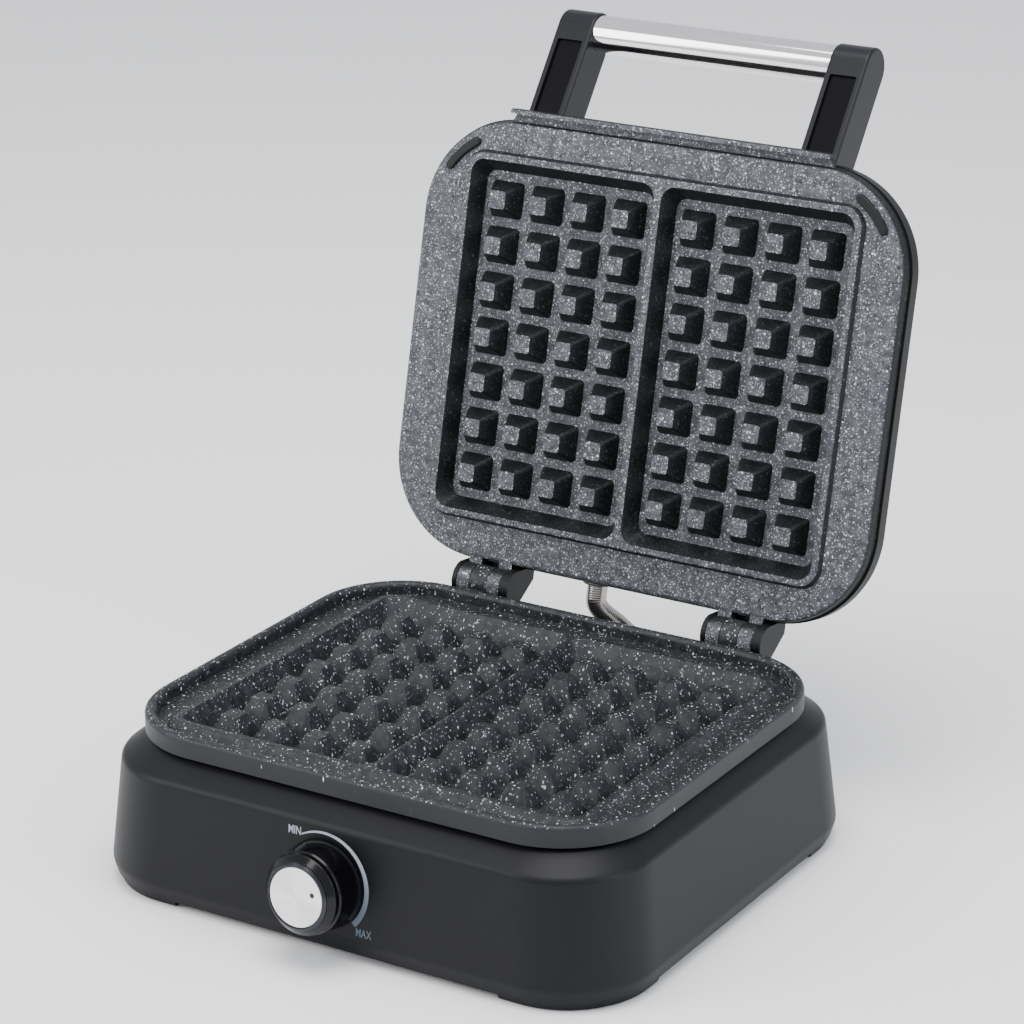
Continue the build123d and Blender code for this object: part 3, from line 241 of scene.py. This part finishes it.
def lower_stone():
    """Darker stone-effect coating with sparse bright specks, and a plainer band round it."""
    material, tree = new_material("lower_stone")
    position, normal = object_space(tree)
    split = tree.nodes.new("ShaderNodeSeparateXYZ")
    tree.links.new(position, split.inputs[0])
    corner = 0.044
    half_x, half_y = (nodes_half("lower_plate", axis) for axis in (0, 1))
    over_x = math_node(tree, "SUBTRACT", math_node(tree, "ABSOLUTE", split.outputs[0]), half_x - corner)
    over_y = math_node(tree, "SUBTRACT", math_node(tree, "ABSOLUTE", split.outputs[1]), half_y - corner)
    over_x = math_node(tree, "MAXIMUM", over_x, 0.0)
    over_y = math_node(tree, "MAXIMUM", over_y, 0.0)
    square_x = math_node(tree, "POWER", over_x, 2.0)
    square_y = math_node(tree, "POWER", over_y, 2.0)
    reach = math_node(tree, "ADD", square_x, square_y)
    outer = ramp(tree, math_node(tree, "SQRT", reach), corner - 0.0012, corner - 0.0004)
    under_rim = ramp(tree, split.outputs[2], 0.0755, 0.0745)
    band = math_node(tree, "MULTIPLY", outer, under_rim)
    blotch = noise(tree, position, 240, 3)
    # Painted light and shade: one coating gets two tones by facing, with the walls painted lighter than the upward
    # faces.
    upward = facing_share(tree, normal, (0, 0, 1), 0.75, 0.98)
    walls = mix_colour(tree, ramp(tree, blotch, 0.3, 0.7), (0.012, 0.013, 0.016), (0.030, 0.032, 0.036))
    tops = mix_colour(tree, ramp(tree, blotch, 0.3, 0.7), (0.011, 0.0115, 0.013), (0.020, 0.021, 0.023))
    ground = mix_colour(tree, upward, walls, tops)
    ground = mix_colour(tree, band, ground, (0.018, 0.019, 0.022))
    fine = flecks(tree, position, 1250, 0.24, 0.40, (1, 1, 0.75))
    large = flecks(tree, position, 820, 0.08, 0.36, (1, 1, 0.6))
    pale = math_node(tree, "MAXIMUM", math_node(tree, "MULTIPLY", fine, 0.8), large)
    streaks = flecks(tree, position, 760, 0.035, 0.30, (1, 1, 0.28))
    pale = math_node(tree, "MULTIPLY", pale, ramp(tree, band, 0.0, 1.0, 1.0, 0.0))
    pale = math_node(tree, "MAXIMUM", pale, math_node(tree, "MULTIPLY", streaks, band))
    colour = mix_colour(tree, math_node(tree, "MULTIPLY", pale, 0.9), ground, (0.75, 0.78, 0.82))
    tree.links.new(colour, principled(tree).inputs["Base Color"])
    principled(tree).inputs["Roughness"].default_value = 0.46
    principled(tree).inputs["Specular IOR Level"].default_value = 0.25
    bump(tree, math_node(tree, "ADD", pale, blotch), 0.00006)
    return material


def nodes_half(node, axis):
    """Half a CAD node's size along X or Y, taken on its nearer side to the middle."""
    corner_low, corner_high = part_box(node)
    return min(-corner_low[axis], corner_high[axis])


def moulded_black():
    """Matte black plastic with a very fine moulded texture."""
    material, tree = new_material("moulded_black")
    position = object_space(tree)[0]
    shader = principled(tree)
    shader.inputs["Base Color"].default_value = (0.0035, 0.0037, 0.0045, 1.0)
    shader.inputs["Roughness"].default_value = 0.46
    shader.inputs["Specular IOR Level"].default_value = 0.22
    bump(tree, noise(tree, position, 2600, 2), 0.00003, 0.6)
    return material


def spun_steel():
    """Bright disc turned in circles, so that highlights fan out from its middle."""
    material, tree = new_material("spun_steel")
    shader = principled(tree)
    shader.inputs["Base Color"].default_value = (0.86, 0.86, 0.87, 1.0)
    shader.inputs["Metallic"].default_value = 1.0
    shader.inputs["Roughness"].default_value = 0.33
    shader.inputs["Anisotropic"].default_value = 0.85
    tangent = tree.nodes.new("ShaderNodeTangent")
    tangent.direction_type = "RADIAL"
    tangent.axis = "Y"
    tree.links.new(tangent.outputs[0], shader.inputs["Tangent"])
    return material


finishes = {
    "housing": moulded_black(),
    "foot_rubber": plain("foot_rubber", (0.008, 0.008, 0.008), 0.8),
    "bumper": plain("bumper", (0.004, 0.004, 0.005), 0.45, 0.0, 0.0, 0.25),
    "lower_coating": lower_stone(),
    "upper_coating": upper_stone(),
    "arm_paint": plain("arm_paint", (0.0045, 0.005, 0.0075), 0.36, 0.0, 0.0, 0.25),
    "strip": plain("strip", (0.0015, 0.0015, 0.002), 0.30, 0.0, 0.0, 0.1),
    "polished_tube": plain("polished_tube", (0.83, 0.82, 0.82), 0.10, 1.0),
    "knob_gloss": plain("knob_gloss", (0.0015, 0.0015, 0.002), 0.16, 0.0, 0.0, 0.28),
    "ring_satin": plain("ring_satin", (0.045, 0.045, 0.052), 0.25, 1.0),
    "disc_spun": spun_steel(),
    "pointer_fill": plain("pointer_fill", (0.01, 0.01, 0.012), 0.5),
    "conduit_steel": plain("coiled_steel", (0.40, 0.375, 0.35), 0.26, 1.0),
    "ferrule_steel": plain("ferrule_steel", (0.16, 0.155, 0.15), 0.35, 1.0),
    "plated_steel": plain("plated_steel", (0.55, 0.55, 0.54), 0.3, 1.0),
    "gland_plastic": plain("gland_plastic", (0.012, 0.012, 0.013), 0.5),
    "pin_steel": plain("pin_steel", (0.5, 0.5, 0.5), 0.25, 1.0),
    "element_sheath": plain("element_sheath", (0.22, 0.21, 0.20), 0.5, 1.0),
    "clamp_metal": plain("clamp_metal", (0.6, 0.6, 0.6), 0.4, 1.0),
    "shield_metal": plain("shield_metal", (0.75, 0.75, 0.75), 0.3, 1.0),
    "ceramic_body": plain("ceramic_body", (0.80, 0.77, 0.70), 0.3),
    "block_plastic": plain("block_plastic", (0.75, 0.73, 0.66), 0.5),
    "tag_brass": plain("tag_brass", (0.75, 0.58, 0.27), 0.3, 1.0),
    "fuse_metal": plain("fuse_metal", (0.65, 0.65, 0.66), 0.3, 1.0),
    "wire_sleeve": plain("wire_sleeve", (0.70, 0.70, 0.67), 0.7),
    "lamp_glass": plain("lamp_glass", (0.9, 0.9, 0.9), 0.05),
    "lens_red": plain("lens_red", (0.35, 0.01, 0.008), 0.12, 0.0, 0.5),
    "lens_green": plain("lens_green", (0.01, 0.22, 0.04), 0.12, 0.0, 0.5),
}
for row in frame["record"]["subparts"]:
    mesh = nodes[row["node"]].data
    mesh.materials.clear()
    mesh.materials.append(finishes[row["material_slot"]])


# ---------------------------------------------------------------- conduit
def nurbs_points(points):
    """Points along a smooth line that has these control points, read from Blender's own spline."""
    curve = bpy.data.curves.new("route", "CURVE")
    curve.dimensions = "3D"
    curve.resolution_u = 64
    spline = curve.splines.new("NURBS")
    spline.points.add(len(points) - 1)
    for knot, point in zip(spline.points, points):
        knot.co = (*point, 1.0)
    spline.order_u = 3
    spline.use_endpoint_u = True
    holder = bpy.data.objects.new("route", curve)
    bpy.context.scene.collection.objects.link(holder)
    line = bpy.data.meshes.new_from_object(holder)
    found = [v.co.copy() for v in line.vertices]
    bpy.data.objects.remove(holder)
    bpy.data.curves.remove(curve)
    bpy.data.meshes.remove(line)
    return found


def evenly(points, step):
    """The same line with its points one step apart."""
    spaced = [points[0].copy()]
    left = step
    for start, end in zip(points, points[1:]):
        run = (end - start).length
        place = 0.0
        while run - place >= left:
            place += left
            spaced.append(start.lerp(end, place / run))
            left = step
        left -= run - place
    return spaced


def steel_conduit():
    """Spiral-wound sleeve from the base's rear wall up into the lid."""
    radius = 0.0049
    pitch = 0.00105
    ridge = 0.00005
    rings_per_turn = 7
    sides = 44

    # The rear wall leans in as it rises, and the base's outlet is square to it
    wall_run, wall_rise = 0.0045, 0.0475
    lean = atan2(wall_run, wall_rise)
    base_out = Vector((0, cos(lean), sin(lean)))
    base_mouth = Vector((0.012, 0.1147895, 0.046))

    # The lid's outlet faces down the lid, behind the upper plate
    lid_origin = hinge + lid_v * 0.1147 + lid_n * 0.0012
    lid_mouth = Vector((-0.016, 0, 0)) + lid_origin - lid_v * 0.1058 - lid_n * 0.0175
    route = [
        lid_mouth + lid_v * 0.0155,
        lid_mouth - lid_v * 0.0040,
        lid_mouth - lid_v * 0.0125,
        Vector((-0.0050, 0.1375, 0.0575)),
        base_mouth + base_out * 0.0185,
        base_mouth + base_out * 0.0040,
        base_mouth - base_out * 0.0080,
    ]
    line = evenly(nurbs_points(route), pitch / rings_per_turn)
    across = Vector((1, 0, 0))
    vertices = []
    for i, point in enumerate(line):
        ahead = (line[min(i + 1, len(line) - 1)] - line[max(i - 1, 0)]).normalized()
        across = (across - ahead * across.dot(ahead)).normalized()
        beside = ahead.cross(across)
        for k in range(sides):
            turn = 2 * pi * k / sides
            phase = (i / rings_per_turn - k / sides) % 1.0
            out = radius - ridge * (0.5 + 0.5 * cos(2 * pi * phase)) ** 2
            vertices.append(point + (across * cos(turn) + beside * sin(turn)) * out)
    faces = []
    for i in range(len(line) - 1):
        for k in range(sides):
            a, b = i * sides + k, i * sides + (k + 1) % sides
            faces.append((a, b, b + sides, a + sides))
    faces.append(tuple(reversed(range(sides))))
    faces.append(tuple(range((len(line) - 1) * sides, len(line) * sides)))
    sleeve = mesh_piece("spiral_conduit", vertices, faces, "conduit_steel", smooth=True)
    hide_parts("conduit")
    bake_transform(sleeve)


def mesh_piece(name, vertices, faces, slot, smooth=False):
    """A new piece of the object, finished as that material slot is."""
    mesh = bpy.data.meshes.new(name)
    mesh.from_pydata([tuple(v) for v in vertices], [], faces)
    mesh.validate()
    if smooth:
        mesh.polygons.foreach_set("use_smooth", [True] * len(mesh.polygons))
    mesh.materials.append(finishes[slot])
    piece = bpy.data.objects.new(name, mesh)
    bpy.context.scene.collection.objects.link(piece)
    return piece


steel_conduit()

# ---------------------------------------------------------------- dial printing
print_lift = 0.00004
dial_centre = Vector(dial["pos_m"])
dial_right = Vector((1, 0, 0))

# The font's capitals are this part of its size, and the printed ones are this much narrower
cap_height = 0.70
narrowing = 0.72


def on_wall(x, y):
    """A point just proud of the front wall, x right of the dial's centre and y above it."""
    return dial_centre + dial_right * x + dial_up * y + dial_out * print_lift


def dial_arc():
    """Printed band round the dial that grows from a hairline at MIN to its full width at MAX."""
    outer = 0.02285
    steps = 96
    first, last = radians(121), radians(-43.4)
    vertices = []
    for i in range(steps + 1):
        share = i / steps
        angle = first + (last - first) * share
        width = 0.0006 + 0.0020 * share ** 0.8
        for reach in (outer - width, outer):
            vertices.append(on_wall(cos(angle) * reach, sin(angle) * reach))
    faces = [(2 * i, 2 * i + 2, 2 * i + 3, 2 * i + 1) for i in range(steps)]
    return mesh_piece("dial_arc", vertices, faces, "arm_paint")


def ink():
    """Pale ink, light grey at MIN and blue-grey at MAX."""
    material, tree = new_material("dial_ink")
    position = object_space(tree)[0]
    split = tree.nodes.new("ShaderNodeSeparateXYZ")
    tree.links.new(position, split.inputs[0])
    share = ramp(tree, split.outputs[2], dial_centre.z + 0.020, dial_centre.z - 0.012)
    colour = mix_colour(tree, share, (0.36, 0.40, 0.46), (0.07, 0.105, 0.14))
    tree.links.new(colour, principled(tree).inputs["Base Color"])
    principled(tree).inputs["Roughness"].default_value = 0.5
    return material


def word(text, x, y, height):
    """A printed word, centred at x, y from the dial's centre."""
    curve = bpy.data.curves.new(text, "FONT")
    curve.body = text
    curve.size = height / cap_height
    curve.align_x = "CENTER"
    curve.align_y = "CENTER"
    curve.extrude = 0.00002
    curve.offset = 0.00006
    holder = bpy.data.objects.new(text, curve)
    bpy.context.scene.collection.objects.link(holder)
    mesh = bpy.data.meshes.new_from_object(holder)
    bpy.data.objects.remove(holder)
    turn = Matrix((dial_right * narrowing, dial_up, dial_out)).transposed().to_4x4()
    mesh.transform(Matrix.Translation(on_wall(x, y)) @ turn)
    piece = bpy.data.objects.new("label_" + text.lower(), mesh)
    bpy.context.scene.collection.objects.link(piece)
    mesh.materials.clear()
    mesh.materials.append(dial_ink)
    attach(piece, "base")


dial_ink = ink()
arc = dial_arc()
arc.data.materials[0] = dial_ink
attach(arc, "base")
word("MIN", -0.0151, 0.0202, 0.0036)
word("MAX", 0.0208, -0.0178, 0.0036)


# ---------------------------------------------------------------- studio
def area_light(name, place, target, size, power, colour=(1, 1, 1)):
    """A softbox at place, turned to target."""
    data = bpy.data.lights.new(name, "AREA")
    data.shape = "RECTANGLE"
    data.size, data.size_y = size
    data.energy = power
    data.color = colour
    lamp = bpy.data.objects.new(name, data)
    lamp.location = place
    lamp.rotation_mode = "QUATERNION"
    lamp.rotation_quaternion = (Vector(place) - Vector(target)).to_track_quat("Z", "Y")
    bpy.context.scene.collection.objects.link(lamp)


def studio():
    """A pale floor, a pale sky and three softboxes."""
    floor_mesh = bpy.data.meshes.new("floor")
    reach = 12.0
    corners = [(-reach, -reach, 0), (reach, -reach, 0), (reach, reach, 0), (-reach, reach, 0)]
    floor_mesh.from_pydata(corners, [], [(0, 1, 2, 3)])
    floor_mesh.materials.append(plain("floor", (0.94, 0.94, 0.94), 0.8, 0.0, 0.0, 0.2))
    floor = bpy.data.objects.new("floor", floor_mesh)
    bpy.context.scene.collection.objects.link(floor)
    world = bpy.data.worlds.new("studio")
    world.use_nodes = True
    world.node_tree.nodes["Background"].inputs["Color"].default_value = (0.93, 0.95, 1.0, 1.0)
    world.node_tree.nodes["Background"].inputs["Strength"].default_value = 1.0
    bpy.context.scene.world = world
    middle = (low + high) / 2
    area_light("top_softbox", middle + Vector((0.1, -0.2, 1.4)), middle, (1.1, 1.1), 26)
    area_light("front_left", middle + Vector((-1.2, -1.3, 0.9)), middle, (0.8, 1.4), 22)
    cool = (0.88, 0.94, 1.0)
    area_light("right_side", middle + Vector((1.6, -0.1, 0.6)), middle, (0.5, 1.4), 12, cool)


def camera():
    """The view from the front right, above."""
    azimuth, elevation, roll = radians(31.892), radians(20.400), radians(-0.503)
    data = bpy.data.cameras.new("camera")
    data.lens = 128.98
    data.sensor_width = 36.0
    data.clip_start, data.clip_end = 0.05, 50.0
    view = bpy.data.objects.new("camera", data)
    view.location = (0.7960, -1.2483, 0.7113)
    look = Vector((-sin(azimuth) * cos(elevation), cos(azimuth) * cos(elevation), -sin(elevation)))
    view.rotation_mode = "QUATERNION"
    level = look.to_track_quat("-Z", "Y")
    view.rotation_quaternion = level @ Matrix.Rotation(roll, 3, "Z").to_quaternion()
    bpy.context.scene.collection.objects.link(view)
    bpy.context.scene.camera = view


studio()
camera()
